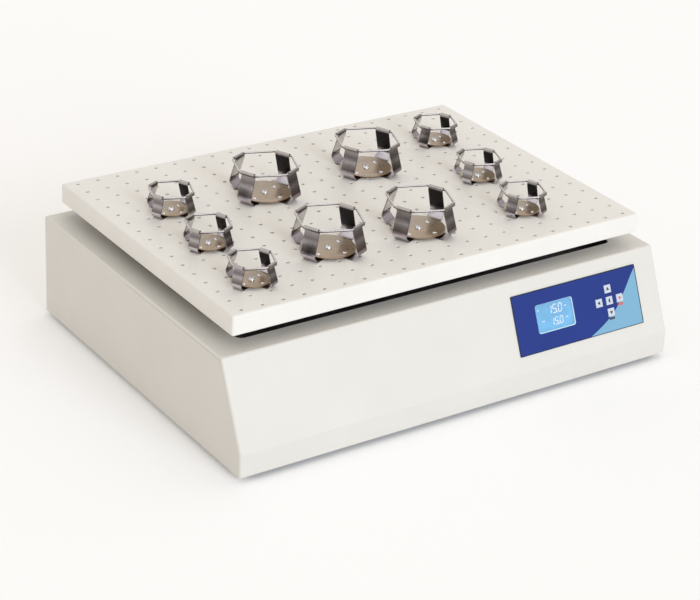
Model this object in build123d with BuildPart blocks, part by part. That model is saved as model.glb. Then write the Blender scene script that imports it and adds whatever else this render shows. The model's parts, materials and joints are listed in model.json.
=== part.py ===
# Linear shaker: a folded steel housing, a slider-crank drive and a perforated platform with flask clamps.
# Millimetres. X runs along the front to the right, Y to the back, Z up.
# The origin is the centre of the housing's footprint, on the bench.
from build123d import *
import math
import os

os.makedirs("parts", exist_ok=True)

# Housing
housing_width = 580.0
housing_depth = 441.0
housing_height = 121.0
bench_gap = 6.0
front_strip = 27.0
front_setback = 42.0
cover_sheet = 1.5
cover_bend = 3.0
cover_lip = 14.0
tray_sheet = 2.0
tray_rim = 16.0
tray_play = 0.3
rear_screw_inset = 42.0
cutout_play = 0.3
vent_inset = 145.0
vent_length = 120.0
vent_width = 3.0
vent_pitch = 9.0
vent_count = 4

# Feet and screws
foot_radius = 12.0
foot_inset = 34.0
foot_thread = 5.0
foot_sides = 20
screw_sides = 6
m4_radius = 2.0
m4_head_radius = 3.8
m4_head_height = 2.4
m6_radius = 3.0
m6_head_radius = 5.0
m6_head_height = 6.0
screw_play = 0.1

# Flat sides that round pieces inside the housing are drawn with
round_sides = 24
pulley_sides = 48

# Platform
platform_side_inset = 18.0
platform_end_inset = 8.5
platform_skirt = 22.6
platform_gap = 17.4
platform_sheet = 2.0
platform_corner = 2.5
hole_margin = 9.0
hole_pitch_x = 25.6
hole_pitch_y = 24.1
hole_radius = 2.25
hole_sides = 4
frame_side_gap = 29.0
frame_bar = 16.0
frame_height = 18.0

# Opening in the top of the housing, and the pan that closes it
opening_inset = 20.0
opening_corner = 8.0
well_sheet = 1.5
well_depth = 17.5
well_flange = 9.0

# Linear guide
stroke = 20.0
rail_radius = 6.0
rail_height = 76.0
rail_half_length = 208.0
rail_play = 0.05
bracket_sheet = 4.0
bracket_foot = 22.0
bracket_end = 35.0
bracket_rise = 14.0
block_length = 36.0
block_width = 40.0
block_height = 28.0
block_spacing = 210.0
carriage_sheet = 6.0
carriage_width = 290.0
carriage_margin = 2.0
post_radius = 9.2
post_sides = 6
post_spacing_x = 240.0
post_rail_gap = 35.0
post_slot_play = 3.0

# Crank drive
crank_radius = stroke / 2
crank_pulley_radius = 48.0
motor_pulley_radius = 16.0
pulley_height = 14.0
pulley_bottom = 54.0
pulley_flange = 3.0
pulley_flange_sheet = 1.5
belt_sheet = 2.5
belt_play = 0.3
crank_shaft_radius = 7.5
bearing_outer_radius = 16.0
bearing_height = 28.0
bearing_seat_lip = 2.0
bearing_relief = 4.0
bearing_block_size = 48.0
bearing_block_top = 50.0
bearing_flange_size = 74.0
bearing_flange_height = 7.0
shaft_play = 0.05
pin_radius = 4.0
pin_collar = 2.0
pin_head_play = 0.1
roller_radius = 11.0
roller_height = 12.0
yoke_height = 16.0
yoke_wall = 9.0
yoke_side_play = 2.4
yoke_end_play = 1.0
weight_inner_radius = 22.0
weight_outer_radius = 44.0
weight_height = 4.0
motor_distance = 110.0
motor_size = 60.0
motor_corner = 5.0
motor_height = 34.0
motor_boss_radius = 11.0
motor_boss_height = 3.0
motor_shaft_radius = 4.0
motor_shaft_depth = 16.0
motor_bore_relief = 3.0
motor_plate_top = 49.0
motor_plate_sheet = 3.0
motor_bracket_width = 84.0
motor_bracket_depth = 92.0
motor_bracket_foot = 14.0

# Control panel on the slanted front
panel_side_gap = 31.2
panel_up = 52.2
panel_width = 180.0
panel_height = 69.4
panel_sheet = 0.8
panel_corner = 1.5
display_shift = -32.8
display_up = 53.6
display_width = 53.0
display_height = 33.0
display_depth = 7.0
display_margin = 3.0
window_sheet = 1.2
keypad_shift = 45.7
keypad_up = 53.3
key_pitch_x = 15.2
key_pitch_up = 13.6
key_size = 9.4
key_play = 0.25
key_proud = 0.5
key_flange = 0.8
key_flange_sheet = 0.8
key_travel = 0.5
key_stem_radius = 2.0
key_stem_play = 0.1
keypad_play = 0.8
switch_size = 6.0
switch_height = 3.4
board_gap = 7.0
board_sheet = 1.6
board_width = 156.0
board_height = 50.0
stud_radius = 2.5
stud_inset = 5.0

# Power supply, mains inlet and power switch at the back
supply_width = 130.0
supply_depth = 66.0
supply_height = 36.0
supply_side_gap = 57.0
supply_front_gap = 19.5
supply_rear_gap = 6.0
inlet_inset = 65.0
inlet_z = 52.0
inlet_flange_width = 50.0
inlet_flange_height = 24.0
inlet_flange_sheet = 3.0
inlet_corner = 3.0
inlet_body_width = 31.0
inlet_body_height = 22.0
inlet_body_depth = 26.0
socket_width = 24.0
socket_height = 16.0
socket_depth = 18.0
blade_width = 2.0
blade_height = 4.0
blade_length = 12.0
blade_spacing = 14.0
rocker_distance = 53.0
bezel_width = 31.0
bezel_height = 25.0
bezel_sheet = 2.0
bezel_body_width = 27.0
bezel_body_height = 21.0
bezel_body_depth = 20.0
bezel_corner = 2.0
bezel_recess = 10.0
rocker_width = 17.0
rocker_height = 15.0
rocker_play = 0.5
rocker_tilt = 10.0
rocker_axle_radius = 1.5
rocker_proud = 0.5
rocker_dish = 0.5
rocker_taper = 0.5
rocker_shoulder = 1.5
rocker_keel = 3.0

# Flask clamps: circumradius of the ring and height of the ring over the platform
large_ring_radius = 38.8
large_ring_height = 38.0
small_ring_radius = 26.4
small_ring_height = 26.0
clamp_turn = 25.0
arm_span = 36.0
arm_share = 0.76
arm_sheet = 1.0
arm_bulge = 1.13
arm_bend_share = 0.09
wire_radius = 1.2
wire_sides = 6
wire_play = 0.1
arm_straight = 2.0
seat_share = 0.79
seat_flat_share = 0.62
seat_sheet = 0.9
seat_rise = 2.9
seat_rim = 1.0
seat_sides = 16
large_clamp_places = [(-80.6, 56.0), (64.3, 62.2), (-97.1, -102.3), (20.5, -106.8)]
small_clamp_places = [
    (-198.4, 65.7), (-207.0, -30.9), (-212.3, -129.8),
    (187.7, 94.6), (169.0, -19.2), (156.2, -120.0),
]

# Worked out from the sizes above
half_width = housing_width / 2
half_depth = housing_depth / 2
cover_bottom = bench_gap
cover_top = cover_bottom + housing_height
tray_bottom = cover_bottom + cover_sheet
tray_top = tray_bottom + tray_sheet
inner_half_width = half_width - cover_sheet
inner_half_depth = half_depth - cover_sheet
slope_height = housing_height - front_strip
platform_y = front_setback / 2
platform_width = housing_width - 2 * platform_side_inset
platform_depth = housing_depth - front_setback - 2 * platform_end_inset
hole_columns = int((platform_width - 2 * hole_margin) / hole_pitch_x) + 1
hole_rows = int((platform_depth - 2 * hole_margin) / hole_pitch_y) + 1
platform_bottom = cover_top + platform_gap
platform_top = platform_bottom + platform_skirt
platform_underside = platform_top - platform_sheet
opening_width = platform_width - 2 * opening_inset
opening_depth = platform_depth - 2 * opening_inset
well_floor = cover_top - cover_sheet - well_depth
supply_x = supply_side_gap + supply_width / 2 - half_width
supply_y = supply_front_gap + supply_depth / 2 - half_depth
bracket_front = supply_y + supply_depth / 2 + supply_rear_gap
bracket_width = 2 * (platform_y - bracket_front)
rail_spacing = bracket_width - 2 * bracket_end
post_spacing_y = rail_spacing - 2 * post_rail_gap
frame_half_width = platform_width / 2 - platform_sheet - frame_side_gap
frame_half_depth = (post_spacing_y + frame_bar) / 2
carriage_bottom = rail_height + block_height / 2
carriage_top = carriage_bottom + carriage_sheet
carriage_depth = rail_spacing + block_width + 2 * carriage_margin
pulley_top = pulley_bottom + pulley_height
crank_y = platform_y
pin_y = crank_y - crank_radius
motor_x = -motor_distance
yoke_bottom = carriage_bottom - yoke_height
roller_bottom = yoke_bottom + (yoke_height - roller_height) / 2
yoke_slot_width = 2 * (roller_radius + yoke_side_play)
yoke_slot_length = 2 * (roller_radius + crank_radius + yoke_end_play)
arm_half_angle = math.radians(arm_span / 2)
keypad_opening = key_size + 2 * (key_flange + keypad_play)
panel_x = half_width - panel_side_gap - panel_width / 2
display_x = panel_x + display_shift
keypad_x = panel_x + keypad_shift
inlet_x = half_width - inlet_inset
rocker_x = inlet_x - rocker_distance
vent_x = vent_inset - half_width

panel_plane = Plane(
    origin=(0, -half_depth, cover_bottom + front_strip),
    x_dir=(1, 0, 0),
    z_dir=(0, -slope_height, front_setback),
)
back_plane = Plane(origin=(0, half_depth, 0), x_dir=(-1, 0, 0), z_dir=(0, 1, 0))
key_places = {
    "up": (keypad_x, keypad_up + key_pitch_up),
    "left": (keypad_x - key_pitch_x, keypad_up),
    "centre": (keypad_x, keypad_up),
    "right": (keypad_x + key_pitch_x, keypad_up),
    "down": (keypad_x, keypad_up - key_pitch_up),
}
foot_places = [
    (side * (half_width - foot_inset), end * (half_depth - foot_inset))
    for side in (-1, 1)
    for end in (-1, 1)
]
post_places = [
    (side * post_spacing_x / 2, platform_y + end * post_spacing_y / 2)
    for side in (-1, 1)
    for end in (-1, 1)
]
board_places = [
    (
        panel_x + side * (board_width / 2 - stud_inset),
        panel_up + end * (board_height / 2 - stud_inset),
    )
    for side in (-1, 1)
    for end in (-1, 1)
]
clamp_places = [
    (x, platform_y + y) for x, y in large_clamp_places + small_clamp_places
]
rear_screw_places = [(side * (half_width - rear_screw_inset), 0) for side in (-1, 0, 1)]
rear_screw_plane = Plane(
    origin=(0, half_depth, tray_top + tray_rim / 2),
    x_dir=(-1, 0, 0),
    z_dir=(0, 1, 0),
)
lip_screw_places = [
    (side * (half_width - cover_lip / 2), end * half_depth / 2)
    for side in (-1, 1)
    for end in (-1, 1)
]

# Side view of the housing: a low strip, the slanted front, the top and the back
side_view = [
    (-half_depth, cover_bottom - cover_sheet),
    (-half_depth, cover_bottom + front_strip),
    (-half_depth + front_setback, cover_top),
    (half_depth, cover_top),
    (half_depth, cover_bottom - cover_sheet),
]

# Housing cover: one folded sheet with lips under both sides
with BuildPart() as housing_cover:
    with BuildSketch(Plane.YZ.offset(-half_width)):
        with BuildLine():
            Polyline(*side_view, close=True)
        make_face()
    extrude(amount=housing_width)
    fillet(housing_cover.edges() - housing_cover.faces().sort_by(Axis.Z)[0].edges(), cover_bend)
    with BuildSketch(Plane.YZ.offset(-inner_half_width)):
        with BuildLine():
            Polyline(*side_view, close=True)
        make_face()
        offset(amount=-cover_sheet, kind=Kind.INTERSECTION, mode=Mode.REPLACE)
    extrude(amount=2 * inner_half_width, mode=Mode.SUBTRACT)
    split(bisect_by=Plane.XY.offset(cover_bottom), keep=Keep.TOP)
    with BuildSketch(Plane.XY.offset(cover_bottom)):
        with GridLocations(housing_width - cover_lip - cover_sheet, 0, 2, 1):
            Rectangle(cover_lip - cover_sheet, housing_depth - 2 * cover_bend)
    extrude(amount=cover_sheet)
    with BuildSketch(Plane.XY.offset(cover_top)):
        with Locations((0, platform_y)):
            RectangleRounded(opening_width, opening_depth, opening_corner)
    extrude(amount=-2 * cover_sheet, mode=Mode.SUBTRACT)
    with BuildSketch(panel_plane):
        with Locations((display_x, display_up)):
            Rectangle(display_width, display_height)
        with Locations((keypad_x, keypad_up)):
            Rectangle(2 * key_pitch_x + keypad_opening, 2 * key_pitch_up + keypad_opening)
    extrude(amount=-2 * cover_sheet, mode=Mode.SUBTRACT)
    with BuildSketch(panel_plane.offset(-cover_sheet)):
        with Locations(*board_places):
            RegularPolygon(stud_radius, screw_sides)
    extrude(amount=-board_gap)
    with BuildSketch(back_plane):
        with Locations((-inlet_x, inlet_z)):
            Rectangle(inlet_body_width, inlet_body_height)
        with Locations((-rocker_x, inlet_z)):
            Rectangle(bezel_body_width, bezel_body_height)
        with Locations((-vent_x, inlet_z)):
            with GridLocations(0, vent_pitch, 1, vent_count):
                Rectangle(vent_length, vent_width)
    extrude(amount=-2 * cover_sheet, mode=Mode.SUBTRACT)
    with BuildSketch(rear_screw_plane):
        with Locations(*rear_screw_places):
            RegularPolygon(m4_radius + screw_play, screw_sides)
    extrude(amount=-2 * cover_sheet, mode=Mode.SUBTRACT)
    with BuildSketch(Plane.XY.offset(cover_bottom)):
        with Locations(*lip_screw_places):
            RegularPolygon(m4_radius + screw_play, screw_sides)
    extrude(amount=cover_sheet, mode=Mode.SUBTRACT)

housing_cover.part.label = "housing_cover"
export_step(housing_cover.part, "parts/housing_cover.step")

# Base tray: a shallow tray that closes the housing from below
with BuildPart() as base_tray:
    with BuildSketch(Plane.XY.offset(tray_bottom)):
        Rectangle(2 * (inner_half_width - tray_play), 2 * (inner_half_depth - tray_play))
    extrude(amount=tray_sheet + tray_rim)
    offset(amount=-tray_sheet, openings=base_tray.faces().sort_by(Axis.Z)[-1])
    with BuildSketch(Plane.XY.offset(tray_bottom)):
        with Locations(*lip_screw_places, *foot_places):
            RegularPolygon(m4_radius + screw_play, screw_sides)
    extrude(amount=tray_sheet, mode=Mode.SUBTRACT)
    with BuildSketch(rear_screw_plane.offset(-cover_sheet)):
        with Locations(*rear_screw_places):
            RegularPolygon(m4_radius + screw_play, screw_sides)
    extrude(amount=-2 * tray_sheet, mode=Mode.SUBTRACT)

base_tray.part.label = "base_tray"
export_step(base_tray.part, "parts/base_tray.step")

# Screws that hold the cover to the tray, three at the back and two under each lip
with BuildPart() as cover_screws:
    with BuildSketch(rear_screw_plane):
        with Locations(*rear_screw_places):
            RegularPolygon(m4_head_radius, screw_sides)
    extrude(amount=m4_head_height)
    with BuildSketch(rear_screw_plane):
        with Locations(*rear_screw_places):
            RegularPolygon(m4_radius, screw_sides)
    extrude(amount=-(cover_sheet + tray_play + tray_sheet + m4_radius))
    with BuildSketch(Plane.XY.offset(cover_bottom)):
        with Locations(*lip_screw_places):
            RegularPolygon(m4_head_radius, screw_sides)
    extrude(amount=-m4_head_height)
    with BuildSketch(Plane.XY.offset(cover_bottom)):
        with Locations(*lip_screw_places):
            RegularPolygon(m4_radius, screw_sides)
    extrude(amount=cover_sheet + tray_sheet + m4_radius)

cover_screws.part.label = "cover_screws"
export_step(cover_screws.part, "parts/cover_screws.step")

# Rubber feet under the tray, each on a screw from inside
with BuildPart() as rubber_feet:
    with BuildSketch(Plane.XY):
        with Locations(*foot_places):
            RegularPolygon(foot_radius, foot_sides)
    extrude(amount=tray_bottom)
    with BuildSketch(Plane.XY.offset(tray_bottom)):
        with Locations(*foot_places):
            RegularPolygon(m4_radius + screw_play, screw_sides)
    extrude(amount=-foot_thread, mode=Mode.SUBTRACT)

rubber_feet.part.label = "rubber_feet"
export_step(rubber_feet.part, "parts/rubber_feet.step")

with BuildPart() as foot_screws:
    with BuildSketch(Plane.XY.offset(tray_top)):
        with Locations(*foot_places):
            RegularPolygon(m4_head_radius, screw_sides)
    extrude(amount=m4_head_height)
    with BuildSketch(Plane.XY.offset(tray_top)):
        with Locations(*foot_places):
            RegularPolygon(m4_radius, screw_sides)
    extrude(amount=screw_play - tray_sheet - foot_thread)

foot_screws.part.label = "foot_screws"
export_step(foot_screws.part, "parts/foot_screws.step")

# Drive well: a black pan under the opening, with a slot for each support post
with BuildPart() as drive_well:
    with BuildSketch(Plane.XY.offset(well_floor)):
        with Locations((0, platform_y)):
            RectangleRounded(opening_width + 2 * well_sheet, opening_depth + 2 * well_sheet, opening_corner)
    extrude(amount=well_depth)
    with BuildSketch(Plane.XY.offset(well_floor + well_depth)):
        with Locations((0, platform_y)):
            Rectangle(opening_width + 2 * well_flange, opening_depth + 2 * well_flange)
    extrude(amount=-well_sheet)
    with BuildSketch(Plane.XY.offset(well_floor + well_sheet)):
        with Locations((0, platform_y)):
            RectangleRounded(opening_width, opening_depth, opening_corner)
    extrude(amount=well_depth, mode=Mode.SUBTRACT)
    with BuildSketch(Plane.XY.offset(well_floor)):
        with Locations(*post_places):
            Rectangle(2 * (post_radius + post_slot_play) + stroke, 2 * (post_radius + post_slot_play))
    extrude(amount=well_sheet, mode=Mode.SUBTRACT)

drive_well.part.label = "drive_well"
export_step(drive_well.part, "parts/drive_well.step")

# Rail brackets: one bent plate at each end of the two guide rails
with BuildPart() as rail_brackets:
    for side in (-1, 1):
        with BuildSketch(Plane.XZ.offset(-platform_y)):
            with BuildLine():
                Polyline(
                    (side * rail_half_length, tray_top),
                    (side * rail_half_length, rail_height + bracket_rise),
                    (side * (rail_half_length - bracket_sheet), rail_height + bracket_rise),
                    (side * (rail_half_length - bracket_sheet), tray_top + bracket_sheet),
                    (side * (rail_half_length - bracket_foot), tray_top + bracket_sheet),
                    (side * (rail_half_length - bracket_foot), tray_top),
                    close=True,
                )
            make_face()
        extrude(amount=bracket_width / 2, both=True)
    with BuildSketch(Plane.YZ.offset(-rail_half_length)):
        with Locations((platform_y, rail_height)):
            with GridLocations(rail_spacing, 0, 2, 1):
                RegularPolygon(rail_radius, round_sides)
    extrude(amount=2 * rail_half_length, mode=Mode.SUBTRACT)

rail_brackets.part.label = "rail_brackets"
export_step(rail_brackets.part, "parts/rail_brackets.step")

with BuildPart() as guide_rails:
    with BuildSketch(Plane.YZ.offset(-rail_half_length)):
        with Locations((platform_y, rail_height)):
            with GridLocations(rail_spacing, 0, 2, 1):
                RegularPolygon(rail_radius, round_sides)
    extrude(amount=2 * rail_half_length)

guide_rails.part.label = "guide_rails"
export_step(guide_rails.part, "parts/guide_rails.step")

# Carriage: four linear bearing blocks under a plate
with BuildPart() as bearing_blocks:
    with BuildSketch(Plane.XY.offset(carriage_bottom)):
        with Locations((0, platform_y)):
            with GridLocations(block_spacing, rail_spacing, 2, 2):
                Rectangle(block_length, block_width)
    extrude(amount=-block_height)
    with BuildSketch(Plane.YZ.offset(-rail_half_length)):
        with Locations((platform_y, rail_height)):
            with GridLocations(rail_spacing, 0, 2, 1):
                RegularPolygon(rail_radius + rail_play, round_sides)
    extrude(amount=2 * rail_half_length, mode=Mode.SUBTRACT)

bearing_blocks.part.label = "bearing_blocks"
export_step(bearing_blocks.part, "parts/bearing_blocks.step")

with BuildPart() as carriage_plate:
    with BuildSketch(Plane.XY.offset(carriage_bottom)):
        with Locations((0, platform_y)):
            Rectangle(carriage_width, carriage_depth)
        with Locations(*post_places):
            RegularPolygon(m6_radius + screw_play, screw_sides, mode=Mode.SUBTRACT)
    extrude(amount=carriage_sheet)
    chamfer(carriage_plate.edges().filter_by(Axis.Z).group_by(SortBy.DISTANCE)[-1], carriage_sheet)

carriage_plate.part.label = "carriage_plate"
export_step(carriage_plate.part, "parts/carriage_plate.step")

# Yoke: the slotted block that the crank roller pushes from side to side
with BuildPart() as yoke:
    with BuildSketch(Plane.XY.offset(yoke_bottom)):
        with Locations((0, crank_y)):
            Rectangle(yoke_slot_width + 2 * yoke_wall, yoke_slot_length + 2 * yoke_wall)
            SlotOverall(yoke_slot_length, yoke_slot_width, rotation=90, mode=Mode.SUBTRACT)
    extrude(amount=yoke_height)

yoke.part.label = "yoke"
export_step(yoke.part, "parts/yoke.step")

# Posts from the carriage up to the frame under the platform
with BuildPart() as support_posts:
    with BuildSketch(Plane.XY.offset(carriage_top)):
        with Locations(*post_places):
            RegularPolygon(post_radius, post_sides)
            RegularPolygon(m6_radius + screw_play, screw_sides, mode=Mode.SUBTRACT)
    extrude(amount=platform_underside - frame_height - carriage_top)

support_posts.part.label = "support_posts"
export_step(support_posts.part, "parts/support_posts.step")

with BuildPart() as platform_frame:
    with BuildSketch(Plane.XY.offset(platform_underside)):
        with Locations((0, platform_y)):
            Rectangle(2 * frame_half_width, 2 * frame_half_depth)
            Rectangle(
                2 * (frame_half_width - frame_bar),
                2 * (frame_half_depth - frame_bar),
                mode=Mode.SUBTRACT,
            )
    extrude(amount=-frame_height)
    with BuildSketch(Plane.XY.offset(platform_underside)):
        with Locations(*post_places):
            RegularPolygon(m6_head_radius + screw_play, screw_sides)
    extrude(amount=-m6_head_height - screw_play, mode=Mode.SUBTRACT)
    with BuildSketch(Plane.XY.offset(platform_underside)):
        with Locations(*post_places):
            RegularPolygon(m6_radius + screw_play, screw_sides)
        with Locations(*clamp_places):
            RegularPolygon(m4_radius + screw_play, screw_sides)
    extrude(amount=-frame_height, mode=Mode.SUBTRACT)

platform_frame.part.label = "platform_frame"
export_step(platform_frame.part, "parts/platform_frame.step")

with BuildPart() as frame_screws:
    with BuildSketch(Plane.XY.offset(platform_underside - screw_play)):
        with Locations(*post_places):
            RegularPolygon(m6_head_radius, screw_sides)
    extrude(amount=-m6_head_height)
    with BuildSketch(Plane.XY.offset(platform_underside - m6_head_height)):
        with Locations(*post_places):
            RegularPolygon(m6_radius, screw_sides)
    extrude(amount=-frame_height)

frame_screws.part.label = "frame_screws"
export_step(frame_screws.part, "parts/frame_screws.step")

with BuildPart() as carriage_screws:
    with BuildSketch(Plane.XY.offset(carriage_bottom)):
        with Locations(*post_places):
            RegularPolygon(m6_head_radius, screw_sides)
    extrude(amount=-m6_head_height)
    with BuildSketch(Plane.XY.offset(carriage_bottom)):
        with Locations(*post_places):
            RegularPolygon(m6_radius, screw_sides)
    extrude(amount=frame_height)

carriage_screws.part.label = "carriage_screws"
export_step(carriage_screws.part, "parts/carriage_screws.step")

# Platform: a perforated tray, folded down all round
hole_span_x = (hole_columns - 1) * hole_pitch_x
hole_span_y = (hole_rows - 1) * hole_pitch_y
with BuildPart() as platform_tray:
    with BuildSketch(Plane.XY.offset(platform_bottom)):
        with Locations((0, platform_y)):
            RectangleRounded(platform_width, platform_depth, platform_corner)
    extrude(amount=platform_skirt)
    with BuildSketch(Plane.XY.offset(platform_bottom)):
        with Locations((0, platform_y)):
            Rectangle(platform_width - 2 * platform_sheet, platform_depth - 2 * platform_sheet)
    extrude(amount=platform_skirt - platform_sheet, mode=Mode.SUBTRACT)
    with BuildSketch(Plane.XY.offset(platform_top)):
        with Locations((0, platform_y)):
            with GridLocations(hole_pitch_x, hole_pitch_y, hole_columns, hole_rows):
                RegularPolygon(hole_radius, hole_sides)
            with GridLocations(hole_span_x, hole_span_y, 2, 2):
                Circle(hole_radius)
        with Locations(*clamp_places):
            RegularPolygon(m4_radius + screw_play, screw_sides)
    extrude(amount=-2 * platform_sheet, mode=Mode.SUBTRACT)

platform_tray.part.label = "platform_tray"
export_step(platform_tray.part, "parts/platform_tray.step")

# Crank: a shaft in a double-row bearing, a belt pulley, and an eccentric pin with its roller
with BuildPart() as crank_bearing_block:
    with BuildSketch(Plane.XY.offset(tray_top)):
        with Locations((0, crank_y)):
            Rectangle(bearing_flange_size, bearing_flange_size)
    extrude(amount=bearing_flange_height)
    with BuildSketch(Plane.XY.offset(tray_top)):
        with Locations((0, crank_y)):
            Rectangle(bearing_block_size, bearing_block_size)
    extrude(amount=bearing_block_top - tray_top)
    with BuildSketch(Plane.XY.offset(bearing_block_top)):
        with Locations((0, crank_y)):
            RegularPolygon(bearing_outer_radius, round_sides)
    extrude(amount=-bearing_height, mode=Mode.SUBTRACT)
    with BuildSketch(Plane.XY.offset(bearing_block_top)):
        with Locations((0, crank_y)):
            RegularPolygon(bearing_outer_radius - bearing_seat_lip, round_sides)
    extrude(amount=-bearing_height - bearing_relief, mode=Mode.SUBTRACT)

crank_bearing_block.part.label = "crank_bearing_block"
export_step(crank_bearing_block.part, "parts/crank_bearing_block.step")

with BuildPart() as crank_bearing:
    with BuildSketch(Plane.XY.offset(bearing_block_top)):
        with Locations((0, crank_y)):
            RegularPolygon(bearing_outer_radius, round_sides)
            RegularPolygon(
                crank_shaft_radius + shaft_play,
                round_sides,
                major_radius=False,
                mode=Mode.SUBTRACT,
            )
    extrude(amount=-bearing_height)

crank_bearing.part.label = "crank_bearing"
export_step(crank_bearing.part, "parts/crank_bearing.step")

with BuildPart() as crank_shaft:
    with BuildSketch(Plane.XY.offset(pulley_bottom)):
        with Locations((0, crank_y)):
            RegularPolygon(crank_shaft_radius, round_sides)
    extrude(amount=bearing_block_top - bearing_height - bearing_seat_lip - pulley_bottom)

crank_shaft.part.label = "crank_shaft"
export_step(crank_shaft.part, "parts/crank_shaft.step")

with BuildPart() as crank_pulley:
    with BuildSketch(Plane.XY.offset(pulley_bottom)):
        with Locations((0, crank_y)):
            RegularPolygon(crank_pulley_radius, pulley_sides)
    extrude(amount=pulley_height)

crank_pulley.part.label = "crank_pulley"
export_step(crank_pulley.part, "parts/crank_pulley.step")

with BuildPart() as counterweight:
    with BuildSketch(Plane.XY.offset(pulley_top)):
        with Locations((0, crank_y)):
            RegularPolygon(weight_outer_radius, pulley_sides)
            RegularPolygon(weight_inner_radius, round_sides, mode=Mode.SUBTRACT)
        with Locations((0, crank_y - weight_outer_radius)):
            Rectangle(2 * weight_outer_radius, 2 * weight_outer_radius, mode=Mode.SUBTRACT)
    extrude(amount=weight_height)

counterweight.part.label = "counterweight"
export_step(counterweight.part, "parts/counterweight.step")

with BuildPart() as crank_pin:
    with BuildSketch(Plane.XY.offset(pulley_top)):
        with Locations((0, pin_y)):
            RegularPolygon(pin_radius, round_sides)
    extrude(amount=roller_bottom + roller_height + pin_head_play - pulley_top)
    with BuildSketch(Plane.XY.offset(pulley_top)):
        with Locations((0, pin_y)):
            RegularPolygon(pin_radius + pin_collar, round_sides)
    extrude(amount=roller_bottom - pulley_top)

crank_pin.part.label = "crank_pin"
export_step(crank_pin.part, "parts/crank_pin.step")

with BuildPart() as pin_roller:
    with BuildSketch(Plane.XY.offset(roller_bottom)):
        with Locations((0, pin_y)):
            RegularPolygon(roller_radius, round_sides)
            RegularPolygon(pin_radius, round_sides, mode=Mode.SUBTRACT)
    extrude(amount=roller_height)

pin_roller.part.label = "pin_roller"
export_step(pin_roller.part, "parts/pin_roller.step")

# Motor on its bracket, its pulley and the belt to the crank pulley
with BuildPart() as motor_bracket:
    with BuildSketch(Plane.YZ.offset(motor_x - motor_bracket_width / 2)):
        with Locations((crank_y, (tray_top + motor_plate_top) / 2)):
            Rectangle(motor_bracket_depth, motor_plate_top - tray_top)
        with Locations((crank_y, (tray_top + motor_plate_top) / 2 - motor_plate_sheet)):
            Rectangle(
                motor_bracket_depth - 2 * motor_plate_sheet,
                motor_plate_top - tray_top,
                mode=Mode.SUBTRACT,
            )
        with Locations((crank_y, tray_top + motor_plate_sheet / 2)):
            with GridLocations(motor_bracket_depth + motor_bracket_foot, 0, 2, 1):
                Rectangle(motor_bracket_foot, motor_plate_sheet)
    extrude(amount=motor_bracket_width)
    with BuildSketch(Plane.XY.offset(motor_plate_top)):
        with Locations((motor_x, crank_y)):
            RegularPolygon(motor_boss_radius, round_sides)
    extrude(amount=-motor_plate_sheet, mode=Mode.SUBTRACT)

motor_bracket.part.label = "motor_bracket"
export_step(motor_bracket.part, "parts/motor_bracket.step")

motor_top = motor_plate_top - motor_plate_sheet
with BuildPart() as motor:
    with BuildSketch(Plane.XY.offset(motor_top)):
        with Locations((motor_x, crank_y)):
            RectangleRounded(motor_size, motor_size, motor_corner)
    extrude(amount=-motor_height)
    with BuildSketch(Plane.XY.offset(motor_top)):
        with Locations((motor_x, crank_y)):
            RegularPolygon(motor_boss_radius, round_sides)
    extrude(amount=motor_boss_height)
    with BuildSketch(Plane.XY.offset(motor_top + motor_boss_height)):
        with Locations((motor_x, crank_y)):
            RegularPolygon(motor_shaft_radius + shaft_play, round_sides, major_radius=False)
    extrude(amount=-motor_boss_height - motor_shaft_depth - motor_bore_relief, mode=Mode.SUBTRACT)

motor.part.label = "motor"
export_step(motor.part, "parts/motor.step")

with BuildPart() as motor_shaft:
    with BuildSketch(Plane.XY.offset(motor_top - motor_shaft_depth)):
        with Locations((motor_x, crank_y)):
            RegularPolygon(motor_shaft_radius, round_sides)
    extrude(amount=pulley_top - motor_top + motor_shaft_depth)

motor_shaft.part.label = "motor_shaft"
export_step(motor_shaft.part, "parts/motor_shaft.step")

with BuildPart() as motor_pulley:
    with BuildSketch(Plane.XY.offset(pulley_bottom)):
        with Locations((motor_x, crank_y)):
            RegularPolygon(motor_pulley_radius + pulley_flange, round_sides)
            RegularPolygon(motor_shaft_radius, round_sides, mode=Mode.SUBTRACT)
    extrude(amount=-pulley_flange_sheet)
    with BuildSketch(Plane.XY.offset(pulley_bottom)):
        with Locations((motor_x, crank_y)):
            RegularPolygon(motor_pulley_radius, round_sides)
            RegularPolygon(motor_shaft_radius, round_sides, mode=Mode.SUBTRACT)
    extrude(amount=pulley_height)

motor_pulley.part.label = "motor_pulley"
export_step(motor_pulley.part, "parts/motor_pulley.step")

with BuildPart() as drive_belt:
    with BuildSketch(Plane.XY.offset(pulley_bottom + belt_play)):
        with Locations((0, crank_y)):
            Circle(crank_pulley_radius + belt_play + belt_sheet)
        with Locations((motor_x, crank_y)):
            Circle(motor_pulley_radius + belt_play + belt_sheet)
        make_hull()
        offset(amount=-belt_sheet, mode=Mode.SUBTRACT)
    extrude(amount=pulley_height - 2 * belt_play)

drive_belt.part.label = "drive_belt"
export_step(drive_belt.part, "parts/drive_belt.step")

# Control panel: overlay, display, keys and the board behind them
with BuildPart() as control_overlay:
    with BuildSketch(panel_plane):
        with Locations((panel_x, panel_up)):
            RectangleRounded(panel_width, panel_height, panel_corner)
        with Locations((display_x, display_up)):
            Rectangle(display_width, display_height, mode=Mode.SUBTRACT)
        with Locations(*key_places.values()):
            Rectangle(key_size + 2 * key_play, key_size + 2 * key_play, mode=Mode.SUBTRACT)
    extrude(amount=panel_sheet)

control_overlay.part.label = "control_overlay"
export_step(control_overlay.part, "parts/control_overlay.step")

with BuildPart() as display_window:
    with BuildSketch(panel_plane.offset(panel_sheet)):
        with Locations((display_x, display_up)):
            Rectangle(display_width, display_height)
    extrude(amount=-window_sheet)

display_window.part.label = "display_window"
export_step(display_window.part, "parts/display_window.step")

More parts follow.
